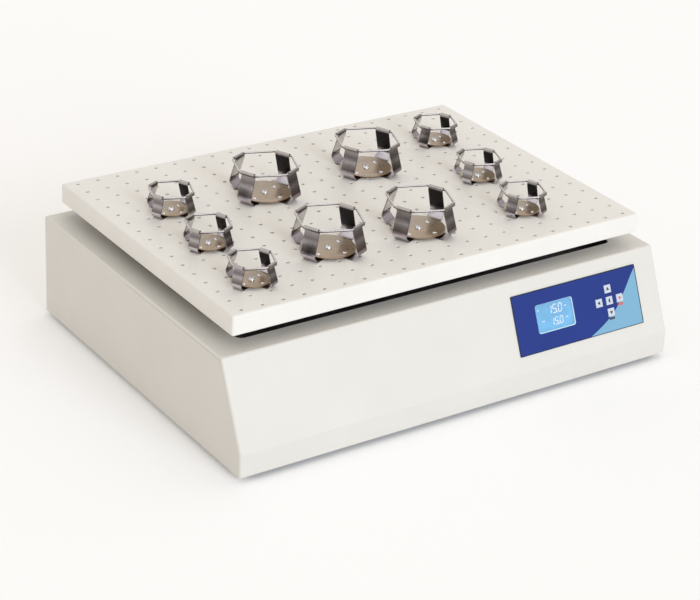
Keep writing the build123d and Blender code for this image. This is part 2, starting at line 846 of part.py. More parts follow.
with BuildPart() as display_module:
    with BuildSketch(panel_plane.offset(-cover_sheet)):
        with Locations((display_x, display_up)):
            Rectangle(display_width + 2 * display_margin, display_height + 2 * display_margin)
    extrude(amount=-display_depth)
    with BuildSketch(panel_plane.offset(-cover_sheet)):
        with Locations((display_x, display_up)):
            Rectangle(display_width - 2 * screw_play, display_height - 2 * screw_play)
    extrude(amount=cover_sheet + panel_sheet - window_sheet)

display_module.part.label = "display_module"
export_step(display_module.part, "parts/display_module.step")

board_face = -cover_sheet - board_gap
with BuildPart() as control_board:
    with BuildSketch(panel_plane.offset(board_face)):
        with Locations((panel_x, panel_up)):
            Rectangle(board_width, board_height)
    extrude(amount=-board_sheet)
    with BuildSketch(panel_plane.offset(board_face)):
        with Locations(*key_places.values()):
            Rectangle(switch_size, switch_size)
    extrude(amount=switch_height)

control_board.part.label = "control_board"
export_step(control_board.part, "parts/control_board.step")

key_back = key_travel + key_flange_sheet
stem_length = cover_sheet + board_gap - switch_height - key_back - key_travel - key_stem_play
for key_name, key_place in key_places.items():
    with BuildPart() as key:
        with BuildSketch(panel_plane.offset(panel_sheet + key_proud)):
            with Locations(key_place):
                Rectangle(key_size, key_size)
        extrude(amount=-panel_sheet - key_proud - key_travel)
        with BuildSketch(panel_plane.offset(-key_travel)):
            with Locations(key_place):
                Rectangle(key_size + 2 * key_flange, key_size + 2 * key_flange)
        extrude(amount=-key_flange_sheet)
        with BuildSketch(panel_plane.offset(-key_back)):
            with Locations(key_place):
                RegularPolygon(key_stem_radius, screw_sides)
        extrude(amount=-stem_length)

    key.part.label = f"key_{key_name}"
    export_step(key.part, f"parts/key_{key_name}.step")

# Power supply on the tray, behind the front wall
with BuildPart() as power_supply:
    with BuildSketch(Plane.XY.offset(tray_top)):
        with Locations((supply_x, supply_y)):
            Rectangle(supply_width, supply_depth)
    extrude(amount=supply_height)

power_supply.part.label = "power_supply"
export_step(power_supply.part, "parts/power_supply.step")

# Mains inlet in the back wall
with BuildPart() as mains_inlet:
    with BuildSketch(back_plane):
        with Locations((-inlet_x, inlet_z)):
            RectangleRounded(inlet_flange_width, inlet_flange_height, inlet_corner)
    extrude(amount=inlet_flange_sheet)
    with BuildSketch(back_plane):
        with Locations((-inlet_x, inlet_z)):
            Rectangle(inlet_body_width - 2 * cutout_play, inlet_body_height - 2 * cutout_play)
    extrude(amount=-inlet_body_depth)
    with BuildSketch(back_plane.offset(inlet_flange_sheet)):
        with Locations((-inlet_x, inlet_z)):
            Rectangle(socket_width, socket_height)
    extrude(amount=-socket_depth, mode=Mode.SUBTRACT)
    with BuildSketch(back_plane.offset(inlet_flange_sheet - socket_depth)):
        with Locations((-inlet_x, inlet_z + blade_height / 2)):
            Rectangle(blade_width, blade_height)
        with Locations((-inlet_x, inlet_z - blade_height / 2)):
            with GridLocations(blade_spacing, 0, 2, 1):
                Rectangle(blade_width, blade_height)
    extrude(amount=blade_length)

mains_inlet.part.label = "mains_inlet"
export_step(mains_inlet.part, "parts/mains_inlet.step")

# Power switch: a bezel with a rocker on its axle
rocker_plane = Plane(origin=(rocker_x, half_depth, inlet_z), x_dir=(0, 1, 0), z_dir=(1, 0, 0))
rocker_lean = math.radians(rocker_tilt)
rocker_rest_plane = Plane(
    origin=(rocker_x, half_depth, inlet_z),
    x_dir=(0, math.cos(rocker_lean), math.sin(rocker_lean)),
    z_dir=(1, 0, 0),
)
rocker_reach = bezel_sheet + rocker_proud
rocker_half_height = rocker_height / 2 - rocker_play
with BuildPart() as switch_bezel:
    with BuildSketch(back_plane):
        with Locations((-rocker_x, inlet_z)):
            RectangleRounded(bezel_width, bezel_height, bezel_corner)
    extrude(amount=bezel_sheet)
    with BuildSketch(back_plane):
        with Locations((-rocker_x, inlet_z)):
            Rectangle(bezel_body_width - 2 * cutout_play, bezel_body_height - 2 * cutout_play)
    extrude(amount=-bezel_body_depth)
    with BuildSketch(back_plane.offset(bezel_sheet)):
        with Locations((-rocker_x, inlet_z)):
            Rectangle(rocker_width + 2 * rocker_play, rocker_height + 2 * rocker_play)
    extrude(amount=-bezel_recess - bezel_sheet, mode=Mode.SUBTRACT)
    with BuildSketch(rocker_plane.offset(-rocker_width / 2 - rocker_play)):
        Circle(rocker_axle_radius)
    extrude(amount=rocker_width + 2 * rocker_play)

switch_bezel.part.label = "switch_bezel"
export_step(switch_bezel.part, "parts/switch_bezel.step")

with BuildPart() as rocker:
    with BuildSketch(rocker_rest_plane.offset(-rocker_width / 2)):
        with BuildLine():
            Polyline(
                (rocker_reach + rocker_dish, -rocker_half_height),
                (rocker_reach, 0),
                (rocker_reach + rocker_dish, rocker_half_height),
                (-rocker_shoulder, rocker_half_height - rocker_taper),
                (-rocker_keel, 0),
                (-rocker_shoulder, rocker_taper - rocker_half_height),
                close=True,
            )
        make_face()
        Circle(rocker_axle_radius + shaft_play, mode=Mode.SUBTRACT)
    extrude(amount=rocker_width)

rocker.part.label = "rocker"
export_step(rocker.part, "parts/rocker.step")


def clamp_profile(ring_radius, ring_height):
    """Half of the line that a clamp arm's strip follows: radial distance and height over the platform."""
    wire_place = ring_radius * math.cos(arm_half_angle)
    hook = wire_radius + wire_play
    bend = ring_radius * arm_bend_share
    foot = ring_radius * arm_bulge
    return [
        (foot - bend, 0),
        (foot, bend),
        (wire_place - hook, ring_height - hook - arm_straight),
        (wire_place - hook, ring_height + hook),
        (wire_place + hook, ring_height + hook),
        (wire_place + hook, ring_height - hook),
    ]


def clamp_arms(x, y, ring_radius, ring_height):
    """Four spring arms, cut and bent from one sheet, with hooks for the ring."""
    half = clamp_profile(ring_radius, ring_height)
    line = [(-u, v) for u, v in reversed(half)] + half
    arm_width = 2 * ring_radius * math.sin(arm_half_angle) * arm_share
    with BuildPart() as arms:
        for turn in (clamp_turn, clamp_turn + 90):
            along = (math.cos(math.radians(turn)), math.sin(math.radians(turn)))
            with BuildSketch(
                Plane(origin=(x, y, platform_top), x_dir=(*along, 0), z_dir=(along[1], -along[0], 0))
            ):
                with BuildLine():
                    Polyline(*line)
                    offset(amount=arm_sheet, side=Side.LEFT, kind=Kind.INTERSECTION)
                make_face()
            extrude(amount=arm_width / 2, both=True)
        with BuildSketch(Plane.XY.offset(platform_top)):
            with Locations((x, y)):
                RegularPolygon(m4_radius + screw_play, screw_sides)
        extrude(amount=arm_sheet, mode=Mode.SUBTRACT)
    return arms


def clamp_ring(x, y, ring_radius, ring_height):
    """An eight-sided wire ring: four short sides in the arms' hooks and four long free sides."""
    turns = [
        math.radians(clamp_turn + 90 * quarter) + side * arm_half_angle
        for quarter in range(4)
        for side in (-1, 1)
    ]
    corners = [(x + ring_radius * math.cos(t), y + ring_radius * math.sin(t)) for t in turns]
    start = ((corners[0][0] + corners[-1][0]) / 2, (corners[0][1] + corners[-1][1]) / 2)
    with BuildPart() as ring:
        with BuildLine(Plane.XY.offset(platform_top + ring_height)) as path:
            Polyline(start, *corners, close=True)
        with BuildSketch(Plane(origin=path.line @ 0, x_dir=(0, 0, 1), z_dir=path.line % 0)):
            RegularPolygon(wire_radius, wire_sides)
        sweep(path=path.wires()[0], transition=Transition.RIGHT)
    return ring.part


def clamp_seat(x, y, ring_radius):
    """A shallow dished disc that the flask stands on, drawn with flat facets round its rim."""
    seat_radius = ring_radius * seat_share
    flat_radius = seat_radius * seat_flat_share
    with BuildPart() as hollow:
        with BuildSketch(Plane.XY.offset(platform_top + arm_sheet + seat_sheet)):
            with Locations((x, y)):
                RegularPolygon(seat_radius - seat_rim, seat_sides, major_radius=False)
        extrude(amount=seat_rise)
        base = hollow.faces().sort_by(Axis.Z)[0]
        chamfer(
            base.edges(),
            length=seat_radius - seat_rim - flat_radius,
            length2=seat_rise - seat_sheet,
            reference=base,
        )
    with BuildPart() as seat:
        with BuildSketch(Plane.XY.offset(platform_top + arm_sheet)):
            with Locations((x, y)):
                RegularPolygon(seat_radius, seat_sides, major_radius=False)
        extrude(amount=seat_rise)
        base = seat.faces().sort_by(Axis.Z)[0]
        chamfer(
            base.edges(),
            length=seat_radius - flat_radius,
            length2=seat_rise - seat_sheet / 2,
            reference=base,
        )
        add(hollow.part, mode=Mode.SUBTRACT)
        with BuildSketch(Plane.XY.offset(platform_top + arm_sheet)):
            with Locations((x, y)):
                RegularPolygon(m4_radius + screw_play, screw_sides)
        extrude(amount=seat_sheet, mode=Mode.SUBTRACT)
    return seat.part


clamp_sizes = {
    "large": (large_ring_radius, large_ring_height, large_clamp_places),
    "small": (small_ring_radius, small_ring_height, small_clamp_places),
}
for size_name, (ring_radius, ring_height, places) in clamp_sizes.items():
    rings = []
    seats = []
    for number, (x, y) in enumerate(places, 1):
        arms = clamp_arms(x, platform_y + y, ring_radius, ring_height)
        arms.part.label = f"{size_name}_clamp_{number}"
        export_step(arms.part, f"parts/{size_name}_clamp_{number}.step")
        rings.append(clamp_ring(x, platform_y + y, ring_radius, ring_height))
        seats.append(clamp_seat(x, platform_y + y, ring_radius))
    with BuildPart() as clamp_rings:
        add(rings)
    clamp_rings.part.label = f"{size_name}_clamp_rings"
    export_step(clamp_rings.part, f"parts/{size_name}_clamp_rings.step")
    with BuildPart() as clamp_seats:
        add(seats)
    clamp_seats.part.label = f"{size_name}_clamp_seats"
    export_step(clamp_seats.part, f"parts/{size_name}_clamp_seats.step")

# Screws that hold each clamp to the platform, through the middle of its seat
clamp_screw_top = platform_top + arm_sheet + seat_sheet
with BuildPart() as clamp_screws:
    with BuildSketch(Plane.XY.offset(clamp_screw_top)):
        with Locations(*clamp_places):
            RegularPolygon(m4_head_radius, screw_sides)
    extrude(amount=m4_head_height)
    with BuildSketch(Plane.XY.offset(clamp_screw_top)):
        with Locations(*clamp_places):
            RegularPolygon(m4_radius, screw_sides)
    extrude(amount=platform_underside - clamp_screw_top - m4_head_height)

clamp_screws.part.label = "clamp_screws"
export_step(clamp_screws.part, "parts/clamp_screws.step")
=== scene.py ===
import json
import math

import bmesh
import bpy
from mathutils import Matrix, Vector


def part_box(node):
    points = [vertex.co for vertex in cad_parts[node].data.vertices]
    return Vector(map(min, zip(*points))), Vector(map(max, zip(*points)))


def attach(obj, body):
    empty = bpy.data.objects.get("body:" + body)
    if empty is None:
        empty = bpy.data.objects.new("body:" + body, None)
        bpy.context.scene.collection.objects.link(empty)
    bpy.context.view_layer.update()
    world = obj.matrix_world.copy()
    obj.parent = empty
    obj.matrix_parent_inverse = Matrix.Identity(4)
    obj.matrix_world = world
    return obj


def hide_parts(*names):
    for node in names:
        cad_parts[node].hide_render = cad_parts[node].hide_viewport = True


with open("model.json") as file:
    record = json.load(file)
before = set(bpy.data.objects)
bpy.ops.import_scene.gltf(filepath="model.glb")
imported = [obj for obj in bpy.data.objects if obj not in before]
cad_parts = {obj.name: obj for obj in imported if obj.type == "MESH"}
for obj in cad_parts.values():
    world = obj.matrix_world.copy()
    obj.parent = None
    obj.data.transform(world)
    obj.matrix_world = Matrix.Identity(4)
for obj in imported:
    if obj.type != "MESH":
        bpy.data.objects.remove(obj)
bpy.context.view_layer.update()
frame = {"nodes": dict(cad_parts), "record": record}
mm = 0.001

# Camera, worked out from the corners of the housing
camera_place = Vector((-1313.3, -1853.6, 1183.4)) * mm
camera_azimuth = math.radians(35.17)
camera_elevation = math.radians(26.61)
camera_roll = math.radians(3.02)
camera_reach = 50.0
focal_pixels = 2176.1
picture_width = 700
sensor_width = 36.0

# Floor, world and lamps: direction towards the lamp, strength, width in degrees and colour
floor_size = 40.0
floor_drop = 0.2 * mm
floor_colour = (0.97, 0.97, 0.98)
floor_glow = 0.11
world_colour = (1.0, 0.955, 0.89)
world_strength = 0.75
lamps = {
    "top_lamp": ((0.55, 0.30, 1.0), 0.16, 40, (1, 0.98, 0.95)),
    "front_lamp": ((0.08, -1.0, 0.36), 1.34, 35, (0.75, 0.86, 1.0)),
}

# Every finish: the range that holds most of a noise texture, and how its roughness and relief vary
noise_low = 0.3
noise_high = 0.7
rough_vary = 0.15
rough_patches = 3
relief_depth = 0.1 * mm
relief_detail = 2.0
bare_steel = (0.9, 0.9, 0.9)

# Colour sockets of a mix node
mix_first = 6
mix_second = 7
mix_result = 2

# Solids of the frame that are shown: cleaned of short edges and flat splits, then softened
weld_distance = 0.002 * mm
flat_angle = math.radians(0.5)
soft_edge = 0.25 * mm
soft_edge_angle = math.radians(40)

# Control panel: a plane that leans back, with its own x and up
panel_origin = Vector((0, -220.5, 33.0)) * mm
panel_up = Vector((0, 42.0, 94.0)).normalized()
panel_normal = Vector((0, -94.0, 42.0)).normalized()
panel_sheet = 0.8 * mm
window_sheet = 1.2 * mm

# Printed film, in shares of its size: its border, and where its pale corner begins along x at some
# heights, with the lowest and the highest first
film_border_x = 0.007
film_border_up = 0.018
pale_corner = ((0.0, 0.55), (1.0, 1.02), (0.28, 0.76), (0.56, 0.87), (0.9, 0.98))

# Marks on the keys: place in steps of the keys' pitch, direction and ink
key_proud = 0.5 * mm
key_pitch = Vector((15.2, 13.6)) * mm
key_middle = Vector((214.5, 53.3)) * mm
key_marks = {
    "up": ((0, 1), 90, "print_dark"),
    "left": ((-1, 0), 180, "print_dark"),
    "centre": ((0, 0), 90, "print_dark"),
    "right": ((1, 0), 0, "print_red"),
    "down": ((0, -1), -90, "print_dark"),
}
arrow_radius = 2.6 * mm
disc_radius = 2.5 * mm
disc_shift = 1.0 * mm
disc_steps = 10
bar_keys = ("down", "right")
bar_half = Vector((4.0, 1.3)) * mm
bar_below = 7.2 * mm
print_height = 0.05 * mm
low_print_height = 0.04 * mm

# Display: mask, rim and plain numbers of seven bars. The rows of numbers and the small marks are given
# in millimetres: x, up, and height of half a digit or length of a mark.
display_middle = Vector((136.0, 53.6)) * mm
display_half = Vector((26.5, 16.5)) * mm
mask_corner = 0.2 * mm
rim_inset = Vector((0.1, 0.1)) * mm
rim_corner = 3.0 * mm
face_shift = Vector((-0.6, 0.5)) * mm
face_inset = Vector((0.9, 0.8)) * mm
face_corner = 2.8 * mm
number_depth = panel_sheet - window_sheet + 0.06 * mm
number_rows = ((127.0, 56.6, 4.6), (128.6, 43.2, 4.0))
small_marks = ((150.6, 61.6, 3.2), (151.0, 48.6, 2.8), (112.6, 63.4, 2.2), (117.4, 50.0, 3.4))
small_mark_half = 0.55 * mm
digit_bars = {
    "a": ((0, 2), (1, 2)), "b": ((1, 2), (1, 1)), "c": ((1, 1), (1, 0)), "d": ((0, 0), (1, 0)),
    "e": ((0, 1), (0, 0)), "f": ((0, 2), (0, 1)), "g": ((0, 1), (1, 1)),
}
digits = {"0": "abcdef", "1": "bc", "5": "afgcd"}
digit_lean = 0.12
digit_gap = 0.10
digit_stroke = 0.13
digit_advance = 1.55
dot_half = 0.16
dot_back = 0.42
dot_advance = 0.15

# Platform sheet: each hole sits in a square cell that is cut into a grid
sheet = 2.0 * mm
edge_bend = 2.5 * mm
bend_steps = 5
skirt_ease = 0.3 * mm
hole_columns = 21
hole_rows = 16
hole_pitch_x = 25.6 * mm
hole_pitch_y = 24.1 * mm
hole_radius = 2.25 * mm
hole_chamfer = 0.45 * mm
hole_cell = 12.0 * mm
hole_grid = 4

# Flask clamps: ring circumradius, ring height, rivet distance, rivet radius and how many there are
clamp_sizes = {
    "large": (38.8 * mm, 38.0 * mm, 21.0 * mm, 2.5 * mm, 4),
    "small": (26.4 * mm, 26.0 * mm, 14.0 * mm, 1.9 * mm, 6),
}
clamp_turn = math.radians(25.0)
arm_half_angle = math.radians(18.0)

# Arms: shares are of the ring's radius, or of its height for the part inside that carries painted shade
arm_share = 0.76
arm_sheet = 1.0 * mm
arm_bulge = 1.13
arm_bend_share = 0.2
arm_bend_radii = [3.0 * mm, 3.5 * mm, 3.0 * mm]
arm_straight = 2.0 * mm
arm_columns = 4
arm_longest_step = 2.5 * mm
arm_painted_shade_low = 0.36
arm_painted_shade_high = 0.93
arm_sharp = 30
hook_ease = 0.999
crossing_lift = 0.02 * mm

# Rings of wire
wire_radius = 1.2 * mm
wire_play = 0.1 * mm
wire_corner = 3.5 * mm
wire_corner_steps = 5
wire_sides = 14

# Seats
seat_share = 0.79
seat_flat_share = 0.62
seat_sheet = 0.9 * mm
seat_rise = 2.9 * mm
seat_curve = 1.6
seat_rim = 1.0 * mm
seat_rim_ease = 0.3 * mm
seat_rim_thick = 0.8 * mm
seat_steps = 10
seat_sides = 64

# Rivets, and button screws: levels are shares of the head's radius, and heights
rivet_height = 1.3 * mm
rivet_sink = 0.1 * mm
rivet_sides = 20
rivet_levels = (0.0, 0.35, 0.7, 0.9)
screw_hole = 2.15 * mm
screw_head = 3.8 * mm
screw_height = 2.4 * mm
screw_sides = 24
screw_levels = ((1.0, 0.0), (1.0, 0.8 * mm), (0.86, 1.8 * mm), (0.62, 2.35 * mm))
socket_radius = 1.5 * mm
socket_floor = 1.0 * mm

# Feet
foot_radius = 12.0 * mm
foot_round = 1.5 * mm
foot_round_steps = 4
foot_core = 0.5 * mm
foot_sides = 40


def remap(tree, value, low, high, to_low=0, to_high=1):
    """Maps a value from one range to another."""
    node = tree.nodes.new("ShaderNodeMapRange")
    node.inputs["From Min"].default_value = low
    node.inputs["From Max"].default_value = high
    node.inputs["To Min"].default_value = to_low
    node.inputs["To Max"].default_value = to_high
    tree.links.new(value, node.inputs["Value"])
    return node.outputs["Result"]


def noise(tree, coordinates, scale, detail=3.0):
    """A noise texture on the given coordinates."""
    node = tree.nodes.new("ShaderNodeTexNoise")
    node.inputs["Scale"].default_value = scale
    node.inputs["Detail"].default_value = detail
    tree.links.new(coordinates, node.inputs["Vector"])
    return node.outputs["Fac"]


def patches(tree, coordinates, scale, low, high):
    """Noise stretched to the range from low to high."""
    return remap(tree, noise(tree, coordinates, scale), noise_low, noise_high, low, high)


def combine(tree, operation, value, other):
    """A math node on a value and a number or another value."""
    node = tree.nodes.new("ShaderNodeMath")
    node.operation = operation
    tree.links.new(value, node.inputs[0])
    if isinstance(other, (int, float)):
        node.inputs[1].default_value = other
    else:
        tree.links.new(other, node.inputs[1])
    return node.outputs[0]


def mix_colours(tree, first, second, factor=1.0, blend="MIX"):
    """Mixes two colours, each a plain tuple or a socket, by a number or a socket."""
    node = tree.nodes.new("ShaderNodeMix")
    node.data_type = "RGBA"
    node.blend_type = blend
    for socket, colour in ((node.inputs[mix_first], first), (node.inputs[mix_second], second)):
        if isinstance(colour, tuple):
            socket.default_value = (*colour, 1)
        else:
            tree.links.new(colour, socket)
    if isinstance(factor, float):
        node.inputs[0].default_value = factor
    else:
        tree.links.new(factor, node.inputs[0])
    return node.outputs[mix_result]


def ramp(tree, value, stops):
    """A colour ramp with the given (place, colour) stops."""
    node = tree.nodes.new("ShaderNodeValToRGB")
    tree.links.new(value, node.inputs["Fac"])
    stretch = node.color_ramp.elements
    stretch[0].position, stretch[0].color = stops[0][0], (*stops[0][1], 1)
    stretch[1].position, stretch[1].color = stops[-1][0], (*stops[-1][1], 1)
    for place, colour in stops[1:-1]:
        stretch.new(place).color = (*colour, 1)
    return node.outputs["Color"]


def split(tree, vector):
    """The X, Y and Z of a vector."""
    node = tree.nodes.new("ShaderNodeSeparateXYZ")
    tree.links.new(vector, node.inputs[0])
    return node.outputs


def facing(tree, axis):
    """How far a surface faces along X, Y or Z, from 0 to 1."""
    normal = tree.nodes.new("ShaderNodeNewGeometry").outputs["Normal"]
    return remap(tree, split(tree, normal)[axis], -1, 1)


def attribute(tree, name):
    """A number that the mesh stores at each of its points."""
    node = tree.nodes.new("ShaderNodeAttribute")
    node.attribute_name = name
    return node.outputs["Fac"]


def new_material(name):
    """A plain material, its node tree and its shader."""
    material = bpy.data.materials.new(name)
    material.use_nodes = True
    tree = material.node_tree
    return material, tree, tree.nodes["Principled BSDF"]


def finish(name, colour, rough=0.5, metal=0.0, vary=0.04, patch=14, grain=900, bump=0.2, brush=(1, 1, 1)):
    """A surface whose colour, roughness and relief vary a little, with an optional brushing direction."""
    material, tree, shader = new_material(name)
    mapping = tree.nodes.new("ShaderNodeMapping")
    mapping.inputs["Scale"].default_value = brush
    place = tree.nodes.new("ShaderNodeTexCoord").outputs["Object"]
    tree.links.new(place, mapping.inputs["Vector"])
    along = mapping.outputs["Vector"]
    dark = tuple(c * (1 - vary) for c in colour)
    light = tuple(min(1, c * (1 + vary)) for c in colour)
    mottled = mix_colours(tree, dark, light, patches(tree, along, patch, 0, 1))
    tree.links.new(mottled, shader.inputs["Base Color"])
    smoothest = rough * (1 - rough_vary)
    roughest = min(1, rough * (1 + rough_vary))
    roughness = patches(tree, along, patch * rough_patches, smoothest, roughest)
    tree.links.new(roughness, shader.inputs["Roughness"])
    relief = tree.nodes.new("ShaderNodeBump")
    relief.inputs["Strength"].default_value = bump
    relief.inputs["Distance"].default_value = relief_depth
    tree.links.new(noise(tree, along, grain, relief_detail), relief.inputs["Height"])
    tree.links.new(relief.outputs["Normal"], shader.inputs["Normal"])
    shader.inputs["Metallic"].default_value = metal
    return material


def painted(material):
    """A finish's shader, and the socket that its colour comes from."""
    shader = material.node_tree.nodes["Principled BSDF"]
    return shader, shader.inputs["Base Color"].links[0].from_socket


def tinted(material, *tints):
    """A finish with its colour multiplied by more colours."""
    tree = material.node_tree
    shader, colour = painted(material)
    for tint in tints:
        colour = mix_colours(tree, tint, colour, blend="MULTIPLY")
    tree.links.new(colour, shader.inputs["Base Color"])
    return material


def painted_reflection_spring_steel():
    """Polished strip with painted reflections, light and dark stripes up its height, and painted shade
    where it faces right.
    """
    material = finish(
        "clamp_steel", bare_steel, rough=0.2, metal=1, vary=0.07, patch=200, bump=0.08, brush=(1, 1, 4)
    )
    tree = material.node_tree
    # Painted reflections: light and dark stripes by height up the strip
    painted_reflection_bands = ramp(tree, attribute(tree, "rise"), [
        (0.0, (0.16, 0.14, 0.13)), (0.07, (0.62, 0.57, 0.60)), (0.26, (0.72, 0.66, 0.70)),
        (0.33, (0.15, 0.12, 0.115)), (0.47, (0.27, 0.24, 0.23)), (0.58, (0.46, 0.43, 0.42)),
        (0.72, (0.19, 0.165, 0.16)), (0.90, (0.33, 0.30, 0.29)), (1.0, (0.50, 0.46, 0.44)),
    ])
    # Painted shade: darker where the strip faces right
    side = ramp(tree, facing(tree, "X"), [
        (0.45, (1, 1, 1)), (0.68, (0.42, 0.39, 0.38)), (0.95, (0.30, 0.28, 0.28)),
    ])
    return tinted(material, painted_reflection_bands, side)


def painted_shade_inner_steel():
    """The inside of a clamp's arm, with painted shade where it faces left and painted light where it faces
    right.
    """
    material = finish("painted_shade_clamp_inside", bare_steel, rough=0.25, metal=1, vary=0.1, patch=150, bump=0.05)
    tree = material.node_tree
    # Painted shade and light: dark where the inside faces left, light where it faces right
    return tinted(material, ramp(tree, facing(tree, "X"), [
        (0.15, (0.045, 0.045, 0.05)), (0.45, (0.10, 0.095, 0.095)), (0.70, (0.66, 0.63, 0.62)),
    ]))


def painted_light_ring_steel():
    """Polished wire with a painted highlight on top, and a painted brown reflection of the platform on its
    sides.
    """
    material = finish("wire_steel", bare_steel, rough=0.12, metal=1, vary=0.08, patch=90, bump=0.04)
    tree = material.node_tree
    # Painted highlight and reflection: light where the wire faces up, dark brown where it faces sideways
    # or down
    return tinted(material, ramp(tree, facing(tree, "Z"), [
        (0.30, (0.13, 0.10, 0.09)), (0.60, (0.19, 0.155, 0.145)), (0.80, (0.44, 0.40, 0.38)),
        (0.95, (0.62, 0.59, 0.57)),
    ]))


def bronze_steel():
    """Satin disc, browner towards the front."""
    material = finish("seat_steel", bare_steel, rough=0.3, metal=0.5, vary=0.08, patch=40, bump=0.06)
    tree = material.node_tree
    return tinted(material, ramp(tree, attribute(tree, "depth"), [
        (0.0, (0.43, 0.29, 0.175)), (0.45, (0.47, 0.36, 0.255)), (1.0, (0.40, 0.34, 0.28)),
    ]))


def outside(tree, share, margin):
    """1 where a share lies within a margin of 0 or 1, and 0 elsewhere."""
    before = combine(tree, "LESS_THAN", share, margin)
    after = combine(tree, "GREATER_THAN", share, 1 - margin)
    return combine(tree, "MAXIMUM", before, after)


def panel_film():
    """Blue printed film with a pale corner and a thin dark border."""
    material = finish("panel_film", (0.012, 0.034, 0.225), rough=0.4, vary=0.06, grain=2500, bump=0.08)
    tree = material.node_tree
    shader, blue = painted(material)
    shader.inputs["Specular IOR Level"].default_value = 0.22
    place = split(tree, tree.nodes.new("ShaderNodeTexCoord").outputs["Object"])
    low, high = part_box("control_overlay")
    rise = remap(tree, place["Z"], low.z, high.z)
    reach = remap(tree, place["X"], low.x, high.x)
    edge = tree.nodes.new("ShaderNodeFloatCurve")
    points = edge.mapping.curves[0].points
    points[0].location = pale_corner[0]
    points[1].location = pale_corner[1]
    for where in pale_corner[2:]:
        points.new(*where)
    edge.mapping.update()
    tree.links.new(rise, edge.inputs["Value"])
    pale = combine(tree, "GREATER_THAN", reach, edge.outputs["Value"])
    coloured = mix_colours(tree, blue, (0.21, 0.43, 0.60), pale)
    border = combine(
        tree, "MAXIMUM", outside(tree, reach, film_border_x), outside(tree, rise, film_border_up)
    )
    bordered = mix_colours(tree, coloured, (0.012, 0.022, 0.05), border)
    tree.links.new(bordered, shader.inputs["Base Color"])
    return material


def display_face():
    """Lit liquid crystal, a little uneven."""
    material = finish(
        "display_face", (0.075, 0.32, 0.56), rough=0.35, vary=0.16, patch=45, grain=3000, bump=0.03
    )
    shader, colour = painted(material)
    shader.inputs["Specular IOR Level"].default_value = 0.3
    material.node_tree.links.new(colour, shader.inputs["Emission Color"])
    shader.inputs["Emission Strength"].default_value = 0.35
    return material


def clear_window():
    """A thin clear window, faintly blue."""
    material, _, shader = new_material("clear_window")
    shader.inputs["Base Color"].default_value = (0.8, 0.93, 1.0, 1)
    shader.inputs["Roughness"].default_value = 0.06
    shader.inputs["Alpha"].default_value = 0.14
    return material


plain_finishes = {
    "cover_paint": dict(colour=(0.75, 0.72, 0.665), rough=0.42, vary=0.015, grain=700, bump=0.18),
    "platform_paint": dict(colour=(0.86, 0.83, 0.78), rough=0.45, vary=0.02, grain=700, bump=0.2),
    "dark_steel": dict(colour=(0.02, 0.02, 0.022), rough=0.6, vary=0.2, grain=600, bump=0.3),
    "foot_rubber": dict(colour=(0.025, 0.025, 0.025), rough=0.85, vary=0.2, grain=1500, bump=0.5),
    "zinc_screw": dict(colour=(0.6, 0.6, 0.57), rough=0.3, metal=1, vary=0.08, grain=1500),
    "bright_steel": dict(colour=(0.72, 0.72, 0.73), rough=0.18, metal=1, vary=0.05, grain=1800, bump=0.1),
    "aluminium": dict(colour=(0.72, 0.73, 0.74), rough=0.3, metal=1, vary=0.05, brush=(8, 1, 1)),
    "bracket_steel": dict(colour=(0.42, 0.43, 0.45), rough=0.4, metal=0.8, vary=0.1),
    "motor_black": dict(colour=(0.03, 0.03, 0.034), rough=0.45, vary=0.15),
    "belt_rubber": dict(colour=(0.02, 0.02, 0.02), rough=0.8, grain=500, bump=0.6, brush=(1, 1, 6)),
    "board_green": dict(colour=(0.02, 0.13, 0.06), rough=0.4, vary=0.2, patch=80),
    "key_plastic": dict(colour=(0.60, 0.66, 0.76), rough=0.4, vary=0.05, grain=2500, bump=0.1),
    "black_plastic": dict(colour=(0.018, 0.018, 0.02), rough=0.5, vary=0.15, grain=1400, bump=0.3),
    "rocker_plastic": dict(colour=(0.025, 0.025, 0.027), rough=0.22, vary=0.1, grain=1800, bump=0.08),
    "print_dark": dict(colour=(0.03, 0.035, 0.06), rough=0.5, vary=0.1),
    "print_white": dict(colour=(0.85, 0.87, 0.9), rough=0.5, vary=0.03),
    "print_red": dict(colour=(0.62, 0.13, 0.12), rough=0.5, vary=0.08),
    "display_rim": dict(colour=(0.50, 0.76, 0.88), rough=0.4, vary=0.05),
}
materials = {name: finish(name, **settings) for name, settings in plain_finishes.items()}
materials["clamp_steel"] = painted_reflection_spring_steel()
materials["painted_shade_clamp_inside"] = painted_shade_inner_steel()
materials["wire_steel"] = painted_light_ring_steel()
materials["seat_steel"] = bronze_steel()
materials["overlay_film"] = panel_film()
materials["display_glass"] = clear_window()
materials["display_body"] = display_face()

slots = {part["node"]: part["material_slot"] for part in frame["record"]["subparts"]}


def dress(node):
    """Gives a node of the frame its finish, cleans its mesh and softens its sharp edges."""
    piece = frame["nodes"][node]
    if not piece.material_slots:
        piece.data.materials.append(None)
    for slot in piece.material_slots:
        slot.material = materials[slots[node]]
    weld = piece.modifiers.new("weld", "WELD")
    weld.merge_threshold = weld_distance
    flatten = piece.modifiers.new("flatten", "DECIMATE")
    flatten.decimate_type = "DISSOLVE"
    flatten.angle_limit = flat_angle
    soften = piece.modifiers.new("soften", "BEVEL")
    soften.width = soft_edge
    soften.segments = 2
    soften.limit_method = "ANGLE"
    soften.angle_limit = soft_edge_angle
    soften.harden_normals = True


def add_piece(mesh, finishes, body, slot, *nodes):
    """Makes a piece of a mesh and its finishes, with its body and the nodes that it replaces; its slot
    argument is not used.
    """
    piece = bpy.data.objects.new(mesh.name, mesh)
    bpy.context.scene.collection.objects.link(piece)
    for one in finishes:
        mesh.materials.append(materials[one])
    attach(piece, body)
    if nodes:
        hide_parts(*nodes)


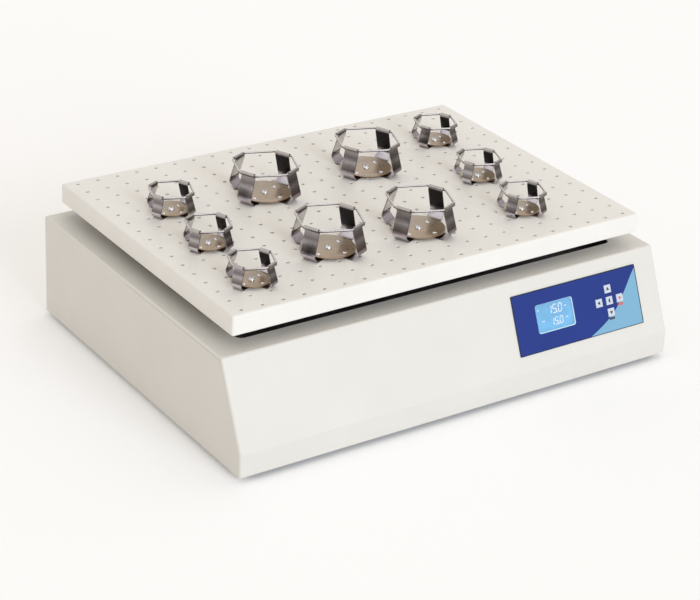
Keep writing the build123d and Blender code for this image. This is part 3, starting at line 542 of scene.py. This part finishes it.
def smooth_mesh(bm, name, sharp=35):
    """Turns a bmesh into a mesh with smooth faces and edges that stay sharp past an angle."""
    bmesh.ops.recalc_face_normals(bm, faces=bm.faces)
    mesh = bpy.data.meshes.new(name)
    bm.to_mesh(mesh)
    bm.free()
    for face in mesh.polygons:
        face.use_smooth = True
    mesh.set_sharp_from_angle(angle=math.radians(sharp))
    return mesh


def store(mesh, name, values):
    """Stores one number for each point of a mesh."""
    layer = mesh.attributes.new(name, "FLOAT", "POINT")
    layer.data.foreach_set("value", values)


def polar(angle, radius, height=0.0):
    """A point at an angle and a distance round the vertical, at a height."""
    return Vector((math.cos(angle) * radius, math.sin(angle) * radius, height))


def bridge(bm, loops):
    """Joins closed loops that have as many points, each with the next."""
    for here, after in zip(loops, loops[1:]):
        for k in range(len(here)):
            n = (k + 1) % len(here)
            bm.faces.new((here[k], here[n], after[n], after[k]))


def stack(bm, loops):
    """Joins closed loops, and closes the first and the last of them with a face."""
    bridge(bm, loops)
    bm.faces.new(loops[-1])
    bm.faces.new(reversed(loops[0]))


def lathe(bm, profile, centre, steps):
    """Turns a closed profile of (radius, height) points about the vertical through centre."""
    loops = []
    for step in range(steps):
        turn = 2 * math.pi * step / steps
        loops.append([bm.verts.new(centre + polar(turn, r, z)) for r, z in profile])
    bridge(bm, loops + loops[:1])


def finer(path, longest):
    """The same path with its long pieces cut into shorter ones."""
    cut = [path[0]]
    for start, end in zip(path, path[1:]):
        count = max(1, math.ceil((end - start).length / longest))
        cut += [start.lerp(end, k / count) for k in range(1, count + 1)]
    return cut


def rounded(points, radii, steps=6):
    """A polyline with an arc at each inner corner."""
    path = [points[0]]
    for before, corner, after, radius in zip(points, points[1:], points[2:], radii):
        into = (corner - before).normalized()
        away = (after - corner).normalized()
        turn = into.angle(away)
        back = radius * math.tan(turn / 2)
        start = corner - into * back
        side = (away - into * into.dot(away)).normalized()
        middle = start + side * radius
        for step in range(steps + 1):
            a = turn * step / steps
            path.append(middle - side * radius * math.cos(a) + into * radius * math.sin(a))
    path.append(points[-1])
    return path


def hole_lines(count, pitch, half):
    """Middles of a plate's rows of holes, and the lines of its grid, from edge to edge."""
    middles = [(k - (count - 1) / 2) * pitch for k in range(count)]
    steps = [(k / hole_grid - 0.5) * hole_cell for k in range(hole_grid + 1)]
    return middles, [-half, *(m + s for m in middles for s in steps), half]


def in_cell(index):
    """Whether the strip after a line of the grid lies in a hole's cell."""
    return (index - 1) % (hole_grid + 1) < hole_grid


def punch_holes(bm, top, under, middles, columns, rows):
    """Joins the upper and lower grid through every hole, which has a chamfer at its top."""
    side = range(hole_grid)
    border = [(k, 0) for k in side] + [(hole_grid, k) for k in side]
    border += [(hole_grid - k, hole_grid) for k in side] + [(0, hole_grid - k) for k in side]
    z = top[0][0].co.z
    levels = [
        (hole_radius + hole_chamfer, z),
        (hole_radius, z - hole_chamfer),
        (hole_radius, z - sheet),
    ]
    for c, x in enumerate(columns):
        for r, y in enumerate(rows):
            i, j = 1 + (hole_grid + 1) * c, 1 + (hole_grid + 1) * r
            loops = [[top[i + a][j + b] for a, b in border]]
            for radius, height in levels:
                loop = []
                for a, b in border:
                    out = Vector((a - hole_grid / 2, b - hole_grid / 2)).normalized() * radius
                    loop.append(bm.verts.new((middles.x + x + out.x, middles.y + y + out.y, height)))
                loops.append(loop)
            loops.append([under[i + a][j + b] for a, b in border])
            bridge(bm, loops)


def fold_edges(bm, top, under, drop):
    """Rounds the plate over its edges and corners, and folds it down into a skirt."""
    last_x, last_y = len(top) - 1, len(top[0]) - 1
    rim = [(i, 0, 0, -1) for i in range(last_x + 1)]
    rim += [(last_x, j, 1, 0) for j in range(last_y + 1)]
    rim += [(i, last_y, 0, 1) for i in range(last_x, -1, -1)]
    rim += [(0, j, -1, 0) for j in range(last_y, -1, -1)]
    profile = []
    for k in range(1, bend_steps + 1):
        a = math.pi / 2 * k / bend_steps
        profile.append((edge_bend * math.sin(a), edge_bend * (math.cos(a) - 1)))
    inside = edge_bend - sheet
    profile += [(edge_bend, skirt_ease - drop), (edge_bend - skirt_ease, -drop)]
    profile += [(inside + skirt_ease, -drop), (inside, skirt_ease - drop), (inside, -sheet)]
    strings = []
    for index, (i, j, x, y) in enumerate(rim):
        at_corner = rim[(index + 1) % len(rim)][:2] == (i, j)
        for step in range(bend_steps if at_corner else 1):
            out = Matrix.Rotation(math.pi / 2 * step / bend_steps, 3, "Z") @ Vector((x, y, 0))
            edge = top[i][j]
            skirt = [bm.verts.new(edge.co + out * u + Vector((0, 0, v))) for u, v in profile]
            strings.append([edge, *skirt, under[i][j]])
    for here, after in zip(strings, strings[1:] + strings[:1]):
        for a in range(len(here) - 1):
            corners = (here[a], here[a + 1], after[a + 1], after[a])
            bm.faces.new(list(dict.fromkeys(corners)))


def platform_mesh():
    """A folded tray with a grid of round holes, rounded along its top edges and corners."""
    low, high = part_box("platform_tray")
    middle = (low + high) / 2
    half = (high - low) / 2 - Vector((edge_bend, edge_bend, 0))
    columns, lines_x = hole_lines(hole_columns, hole_pitch_x, half.x)
    rows, lines_y = hole_lines(hole_rows, hole_pitch_y, half.y)
    bm = bmesh.new()
    grids = []
    for z in (high.z, high.z - sheet):
        grids.append([[bm.verts.new((middle.x + x, middle.y + y, z)) for y in lines_y] for x in lines_x])
    for grid in grids:
        for i in range(len(lines_x) - 1):
            for j in range(len(lines_y) - 1):
                if not (in_cell(i) and in_cell(j)):
                    bm.faces.new((grid[i][j], grid[i + 1][j], grid[i + 1][j + 1], grid[i][j + 1]))
    punch_holes(bm, *grids, middle, columns, rows)
    fold_edges(bm, *grids, high.z - low.z)
    return smooth_mesh(bm, "platform_sheet")


def arm_line(ring_radius, ring_height):
    """Half of the line that a clamp's strip follows: along its floor, up its arm and over the wire."""
    wire = ring_radius * math.cos(arm_half_angle)
    hook = wire_radius + wire_play
    bend = ring_radius * arm_bend_share
    foot = ring_radius * arm_bulge
    corners = [
        Vector((0, 0)),
        Vector((foot - bend, 0)),
        Vector((foot, bend)),
        Vector((wire - hook, ring_height - hook - arm_straight)),
        Vector((wire - hook, ring_height + hook)),
        Vector((wire + hook, ring_height + hook)),
        Vector((wire + hook, ring_height - hook)),
    ]
    return finer(rounded(corners, arm_bend_radii + [hook * hook_ease] * 2), arm_longest_step)


def clamp_arms_mesh(name, centre, ring_radius, ring_height):
    """Four bent spring strips: their outside takes the steel with painted reflections, and the upright
    part of their inside a material with painted shade.
    """
    line = arm_line(ring_radius, ring_height)
    last = len(line) - 1
    width = 2 * ring_radius * math.sin(arm_half_angle) * arm_share
    across = [width * (c / arm_columns - 0.5) for c in range(arm_columns + 1)]
    normals = []
    for k in range(len(line)):
        ahead = line[min(k + 1, last)] - line[max(k - 1, 0)]
        normals.append(Vector((-ahead.y, ahead.x)).normalized())
    bm = bmesh.new()
    for quarter in range(4):
        turn = Matrix.Rotation(clamp_turn + quarter * math.pi / 2, 3, "Z")
        lift = crossing_lift * (quarter % 2)
        sides = []
        for depth in (0, arm_sheet):
            side = []
            for point, normal in zip(line, normals):
                place = point + normal * depth
                row = [Vector((place.x, c, place.y + lift)) for c in across]
                side.append([bm.verts.new(centre + turn @ spot) for spot in row])
            sides.append(side)
        outer, inner = sides
        for k in range(last):
            # Inner faces of the upright part take the material with painted shade
            takes_painted_shade = arm_painted_shade_low * ring_height < line[k].y < arm_painted_shade_high * ring_height
            for c in range(arm_columns):
                bm.faces.new((outer[k][c], outer[k + 1][c], outer[k + 1][c + 1], outer[k][c + 1]))
                face = bm.faces.new((inner[k][c], inner[k][c + 1], inner[k + 1][c + 1], inner[k + 1][c]))
                face.material_index = int(takes_painted_shade)
            for c in (0, arm_columns):
                bm.faces.new((outer[k][c], inner[k][c], inner[k + 1][c], outer[k + 1][c]))
        for k in (0, last):
            for c in range(arm_columns):
                bm.faces.new((outer[k][c], outer[k][c + 1], inner[k][c + 1], inner[k][c]))
    mesh = smooth_mesh(bm, name, arm_sharp)
    # Height share, which places the painted reflection stripes on the strip's steel
    store(mesh, "rise", [(point.co.z - centre.z) / ring_height for point in mesh.vertices])
    return mesh


def ring_mesh(name, centre, ring_radius, ring_height):
    """An eight-sided ring of round wire with bent corners."""
    corners = []
    for quarter in range(4):
        for side in (-1, 1):
            turn = clamp_turn + quarter * math.pi / 2 + side * arm_half_angle
            corners.append(polar(turn, ring_radius))
    start = (corners[0] + corners[-1]) / 2
    path = rounded([start, *corners, start], [wire_corner] * len(corners), wire_corner_steps)[:-1]
    bm = bmesh.new()
    loops = []
    for k, point in enumerate(path):
        ahead = (path[(k + 1) % len(path)] - path[k - 1]).normalized()
        out = ahead.cross(Vector((0, 0, 1)))
        loop = []
        for s in range(wire_sides):
            a = 2 * math.pi * s / wire_sides
            offset = out * math.cos(a) * wire_radius + Vector((0, 0, math.sin(a) * wire_radius))
            loop.append(bm.verts.new(centre + point + offset + Vector((0, 0, ring_height))))
        loops.append(loop)
    bridge(bm, loops + loops[:1])
    return smooth_mesh(bm, name)


def seat_surface(radius, seat_radius):
    """Height of the seat's upper face over its underside, at a distance from its middle."""
    flat = seat_radius * seat_flat_share
    reach = max(0, min(1, (radius - flat) / (seat_radius - seat_rim - flat)))
    return seat_sheet + (seat_rise - seat_sheet) * reach ** seat_curve


def seat_mesh(name, centre, seat_radius):
    """A shallow dished disc with a rounded rim."""
    reach = seat_radius - seat_rim - screw_hole
    radii = [screw_hole + reach * k / seat_steps for k in range(seat_steps + 1)]
    profile = [(r, seat_surface(r, seat_radius)) for r in radii]
    profile += [(seat_radius - seat_rim_ease, seat_rise), (seat_radius, seat_rise - seat_rim_ease)]
    profile += [(seat_radius, seat_rise - seat_rim_thick)]
    profile += [(r, max(0, seat_surface(r, seat_radius) - seat_sheet)) for r in reversed(radii)]
    bm = bmesh.new()
    lathe(bm, profile, centre, seat_sides)
    mesh = smooth_mesh(bm, name)
    store(mesh, "depth", [0.5 + (point.co.y - centre.y) / (2 * seat_radius) for point in mesh.vertices])
    return mesh


def rivet(bm, centre, radius):
    """A rivet's domed head."""
    loops = []
    for lift in rivet_levels:
        reach = radius * math.sqrt(1 - lift ** 2)
        turns = [2 * math.pi * step / rivet_sides for step in range(rivet_sides)]
        loops.append([bm.verts.new(centre + polar(turn, reach, lift * rivet_height)) for turn in turns])
    stack(bm, loops)


def socket_screw(bm, centre):
    """A button head with a six-sided socket."""
    sixth = math.pi / 3
    levels = [(screw_head * share, height, False) for share, height in screw_levels]
    levels += [(socket_radius, screw_height, True), (socket_radius, socket_floor, True)]
    loops = []
    for radius, height, six_sided in levels:
        loop = []
        for step in range(screw_sides):
            turn = 2 * math.pi * step / screw_sides
            reach = radius
            if six_sided:
                reach *= math.cos(sixth / 2) / math.cos(turn % sixth - sixth / 2)
            loop.append(bm.verts.new(centre + polar(turn, reach, height)))
        loops.append(loop)
    stack(bm, loops)


def make_clamps():
    """Arms, ring, seat, rivets and screw of every flask clamp."""
    screws = bmesh.new()
    for size, (ring_radius, ring_height, rivet_place, rivet_radius, count) in clamp_sizes.items():
        seat_radius = ring_radius * seat_share
        for number in range(1, count + 1):
            node = f"{size}_clamp_{number}"
            low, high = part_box(node)
            centre = Vector(((low.x + high.x) / 2, (low.y + high.y) / 2, low.z))
            base = centre + Vector((0, 0, arm_sheet))
            arms = clamp_arms_mesh(f"{node}_arms", centre, ring_radius, ring_height)
            add_piece(arms, ["clamp_steel", "painted_shade_clamp_inside"], "platform", "clamp_steel", node)
            ring = ring_mesh(f"{node}_ring", centre, ring_radius, ring_height)
            add_piece(ring, ["wire_steel"], "platform", "clamp_steel", f"{size}_clamp_rings")
            seat = seat_mesh(f"{node}_seat", base, seat_radius)
            add_piece(seat, ["seat_steel"], "platform", "seat_steel", f"{size}_clamp_seats")
            rivets = bmesh.new()
            height = seat_surface(rivet_place, seat_radius) - rivet_sink
            for quarter in range(4):
                turn = clamp_turn + quarter * math.pi / 2
                rivet(rivets, base + polar(turn, rivet_place, height), rivet_radius)
            add_piece(smooth_mesh(rivets, f"{node}_rivets"), ["bright_steel"], "platform", "bright_steel")
            socket_screw(screws, base + Vector((0, 0, seat_sheet)))
    heads = smooth_mesh(screws, "clamp_screw_heads")
    add_piece(heads, ["bright_steel"], "platform", "bright_steel", "clamp_screws")


def on_panel(place, out):
    """A point of the slanted front, from its x and up along the panel, and its height over it."""
    return panel_origin + Vector((place[0], 0, 0)) + panel_up * place[1] + panel_normal * out


def flat_shape(bm, outline, out, thick):
    """A thin raised print on the panel, from an outline in panel coordinates."""
    stack(bm, [[bm.verts.new(on_panel(p, height)) for p in outline] for height in (out, out + thick)])


def flat_band(bm, outer, inner, out, thick):
    """A thin raised band on the panel, between two outlines with as many points."""
    loops = []
    for outline, height in ((outer, out), (outer, out + thick), (inner, out + thick), (inner, out)):
        loops.append([bm.verts.new(on_panel(p, height)) for p in outline])
    bridge(bm, loops + loops[:1])


def rounded_box(middle, half, radius, steps=6):
    """The outline of a rectangle with rounded corners, in panel coordinates."""
    outline = []
    for quarter, (x, up) in enumerate(((1, 1), (-1, 1), (-1, -1), (1, -1))):
        centre = middle + Vector((x * (half.x - radius), up * (half.y - radius)))
        for step in range(steps + 1):
            outline.append(centre + polar(math.pi / 2 * (quarter + step / steps), radius).xy)
    return outline


def make_key_marks():
    """A small arrow on each key, a half disc on the middle one, and two printed bars below keys."""
    for key, ((x, up), degrees, ink) in key_marks.items():
        middle = key_middle + Vector((x * key_pitch.x, up * key_pitch.y))
        if key == "centre":
            middle.x += disc_shift
            radius, turns = disc_radius, [degrees + 180 * k / disc_steps for k in range(disc_steps + 1)]
        else:
            radius, turns = arrow_radius, [degrees + 120 * k for k in range(3)]
        outline = [middle + polar(math.radians(turn), radius).xy for turn in turns]
        bm = bmesh.new()
        flat_shape(bm, outline, panel_sheet + key_proud, print_height)
        add_piece(smooth_mesh(bm, f"key_{key}_mark"), [ink], f"key_{key}", "black_plastic")
    for key in bar_keys:
        (x, up), _, ink = key_marks[key]
        middle = key_middle + Vector((x * key_pitch.x, up * key_pitch.y - bar_below))
        corners = ((-1, -1), (1, -1), (1, 1), (-1, 1))
        outline = [middle + Vector((side * bar_half.x, end * bar_half.y)) for side, end in corners]
        bm = bmesh.new()
        flat_shape(bm, outline, panel_sheet, low_print_height)
        add_piece(smooth_mesh(bm, f"bar_below_{key}"), [ink], "root", "overlay_film")


def stroke(bm, place, start, end, half):
    """One straight bar of a number: its ends are measured from place, and it leans with the number."""
    along = (end - start).normalized()
    side = Vector((-along.y, along.x)) * half
    outline = []
    for point in (start - side, end - side, end + side, start + side):
        outline.append(place + Vector((point.x + point.y * digit_lean, point.y)))
    flat_shape(bm, outline, number_depth, print_height)


def draw_number(bm, text, place, size):
    """Digits and points from left to right."""
    for character in text:
        if character == ".":
            dot = size * dot_half
            start = place - Vector((size * dot_back, 0))
            stroke(bm, start, Vector((0, 0)), Vector((2 * dot, 0)), dot)
            place = place + Vector((size * dot_advance, 0))
            continue
        for bar in digits[character]:
            start, end = (Vector(corner) * size for corner in digit_bars[bar])
            gap = (end - start) * digit_gap
            stroke(bm, place, start + gap, end - gap, size * digit_stroke)
        place = place + Vector((size * digit_advance, 0))


def make_display():
    """Rounded mask, pale rim and two rows of plain seven-bar numbers."""
    outer = rounded_box(display_middle, display_half, mask_corner)
    edge = rounded_box(display_middle, display_half - rim_inset, rim_corner)
    inside = rounded_box(display_middle + face_shift, display_half - face_inset, face_corner)
    mask = bmesh.new()
    flat_band(mask, outer, edge, panel_sheet, print_height)
    add_piece(smooth_mesh(mask, "display_mask"), ["overlay_film"], "root", "overlay_film")
    rim = bmesh.new()
    flat_band(rim, edge, inside, panel_sheet, low_print_height)
    add_piece(smooth_mesh(rim, "display_rim"), ["display_rim"], "root", "display_body")
    numbers = bmesh.new()
    for x, up, size in number_rows:
        draw_number(numbers, "15.0", Vector((x, up)) * mm, size * mm)
    for x, up, length in small_marks:
        place = Vector((x, up)) * mm
        stroke(numbers, place, Vector((0, 0)), Vector((length * mm, 0)), small_mark_half)
    add_piece(smooth_mesh(numbers, "display_numbers"), ["print_white"], "root", "display_body")


def make_feet():
    """Round rubber feet with softened lower edges."""
    bm = bmesh.new()
    low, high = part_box("rubber_feet")
    profile = [(foot_core, 0)]
    for k in range(foot_round_steps + 1):
        a = math.pi / 2 * k / foot_round_steps
        profile.append((foot_radius + foot_round * (math.sin(a) - 1), foot_round * (1 - math.cos(a))))
    profile += [(foot_radius, high.z), (foot_core, high.z)]
    for x in (low.x + foot_radius, high.x - foot_radius):
        for y in (low.y + foot_radius, high.y - foot_radius):
            lathe(bm, profile, Vector((x, y, 0)), foot_sides)
    add_piece(smooth_mesh(bm, "round_feet"), ["foot_rubber"], "root", "foot_rubber", "rubber_feet")


def make_floor():
    """A white floor that keeps the shadow, and glows a little where the camera sees it."""
    bpy.ops.mesh.primitive_plane_add(size=floor_size, location=(0, 0, -floor_drop))
    floor = bpy.context.object
    floor.name = "floor"
    white, tree, shader = new_material("floor_white")
    shader.inputs["Base Color"].default_value = (*floor_colour, 1)
    shader.inputs["Roughness"].default_value = 1.0
    shader.inputs["Specular IOR Level"].default_value = 0.0
    shader.inputs["Emission Color"].default_value = (1, 1, 1, 1)
    rays = tree.nodes.new("ShaderNodeLightPath")
    glow = combine(tree, "MULTIPLY", rays.outputs["Is Camera Ray"], floor_glow)
    tree.links.new(glow, shader.inputs["Emission Strength"])
    floor.data.materials.append(white)


def make_world():
    """Soft warm light on the object, and white where the world is seen, mirrored or seen through."""
    world = bpy.data.worlds.new("studio")
    bpy.context.scene.world = world
    world.use_nodes = True
    tree = world.node_tree
    soft = tree.nodes["Background"]
    soft.inputs["Color"].default_value = (*world_colour, 1)
    soft.inputs["Strength"].default_value = world_strength
    seen = tree.nodes.new("ShaderNodeBackground")
    seen.inputs["Color"].default_value = (1, 1, 1, 1)
    seen.inputs["Strength"].default_value = 1.0
    rays = tree.nodes.new("ShaderNodeLightPath").outputs
    mirrored = combine(tree, "MAXIMUM", rays["Is Camera Ray"], rays["Is Glossy Ray"])
    shown = combine(tree, "MAXIMUM", mirrored, rays["Is Transmission Ray"])
    mix = tree.nodes.new("ShaderNodeMixShader")
    for index, socket in enumerate((shown, soft.outputs[0], seen.outputs[0])):
        tree.links.new(socket, mix.inputs[index])
    tree.links.new(mix.outputs[0], tree.nodes["World Output"].inputs["Surface"])


def make_lamps():
    """Two wide, soft suns."""
    for name, (towards, strength, width, colour) in lamps.items():
        data = bpy.data.lights.new(name, "SUN")
        data.energy = strength
        data.angle = math.radians(width)
        data.color = colour
        lamp = bpy.data.objects.new(name, data)
        lamp.rotation_euler = Vector(towards).to_track_quat("Z", "Y").to_euler()
        bpy.context.scene.collection.objects.link(lamp)


def make_camera():
    """The photo's view."""
    ahead = Vector((
        math.sin(camera_azimuth) * math.cos(camera_elevation),
        math.cos(camera_azimuth) * math.cos(camera_elevation),
        -math.sin(camera_elevation),
    ))
    level = Vector((math.cos(camera_azimuth), -math.sin(camera_azimuth), 0))
    above = level.cross(ahead)
    right = level * math.cos(camera_roll) + above * math.sin(camera_roll)
    up = above * math.cos(camera_roll) - level * math.sin(camera_roll)
    data = bpy.data.cameras.new("camera")
    data.sensor_width = sensor_width
    data.lens = sensor_width * focal_pixels / picture_width
    data.clip_end = camera_reach
    camera = bpy.data.objects.new("camera", data)
    turn = Matrix((right, up, -ahead)).transposed()
    camera.matrix_world = Matrix.Translation(camera_place) @ turn.to_4x4()
    bpy.context.scene.collection.objects.link(camera)
    bpy.context.scene.camera = camera


for node in frame["nodes"]:
    dress(node)
make_camera()
make_floor()
make_world()
make_lamps()
add_piece(platform_mesh(), ["platform_paint"], "platform", "platform_paint", "platform_tray")
make_clamps()
make_key_marks()
make_display()
make_feet()
bpy.context.scene.view_settings.view_transform = "Standard"
